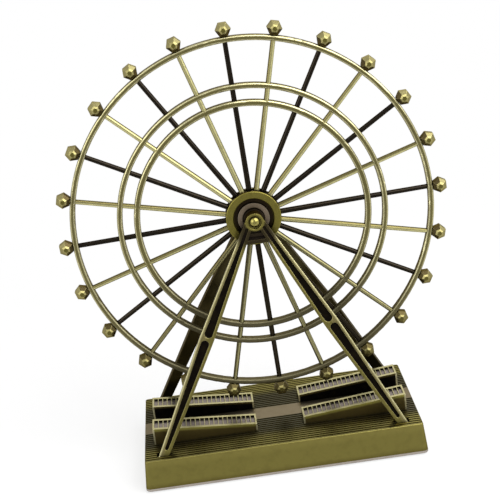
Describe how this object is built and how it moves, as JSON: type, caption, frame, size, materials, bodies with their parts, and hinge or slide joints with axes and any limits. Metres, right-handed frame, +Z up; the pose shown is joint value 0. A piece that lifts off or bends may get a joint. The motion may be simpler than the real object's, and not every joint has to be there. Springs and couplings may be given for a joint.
{
  "type": "desk ferris wheel",
  "caption": "Small cast-metal ferris wheel for a desk: a spoked wheel with faceted cabins turns by hand between two A-frames on a grooved plinth with boarding ramps.",
  "frame": {"origin": "middle of the resting face, on the table under the wheel's centre", "axes": "+X along the plinth, to the right seen from the front; +Y to the back, along the wheel's axle; +Z up"},
  "size_m": [0.1178, 0.0466, 0.1342],
  "materials": {
    "antique_bronze": "antique plating, darkened in the recesses and rubbed bright on the edges",
    "worn_bronze": "antique plating rubbed bright",
    "steel": "plain",
    "rubber": "matte"
  },
  "bodies": {
    "stand": {"base_shell": "antique_bronze", "base_plate": "antique_bronze", "base_screws": "steel", "foot_pads": "rubber", "ramp_front_left": "antique_bronze", "ramp_front_right": "antique_bronze", "ramp_rear_left": "antique_bronze", "ramp_rear_right": "antique_bronze", "front_frame": "antique_bronze", "rear_frame": "antique_bronze", "axle": "worn_bronze", "axle_cap": "worn_bronze", "front_washer": "worn_bronze", "rear_washer": "worn_bronze"},
    "wheel": {"hub_barrel": "antique_bronze", "front_flange": "antique_bronze", "rear_flange": "antique_bronze", "front_spokes": "antique_bronze", "rear_spokes": "antique_bronze", "inner_ring": "antique_bronze", "middle_ring": "antique_bronze", "outer_ring": "antique_bronze", "cabin_01": "antique_bronze", "cabin_02": "antique_bronze", "cabin_03": "antique_bronze", "cabin_04": "antique_bronze", "cabin_05": "antique_bronze", "cabin_06": "antique_bronze", "cabin_07": "antique_bronze", "cabin_08": "antique_bronze", "cabin_09": "antique_bronze", "cabin_10": "antique_bronze", "cabin_11": "antique_bronze", "cabin_12": "antique_bronze", "cabin_13": "antique_bronze", "cabin_14": "antique_bronze", "cabin_15": "antique_bronze", "cabin_16": "antique_bronze", "cabin_17": "antique_bronze", "cabin_18": "antique_bronze", "cabin_19": "antique_bronze", "cabin_20": "antique_bronze", "cabin_21": "antique_bronze", "cabin_22": "antique_bronze", "cabin_23": "antique_bronze", "cabin_24": "antique_bronze"}
  },
  "joints": [
    {"name": "wheel_spin", "type": "hinge", "parent": "stand", "child": "wheel", "pos_m": [0, 0, 0.07525], "axis": [0, 1, 0], "continuous": true}
  ]
}
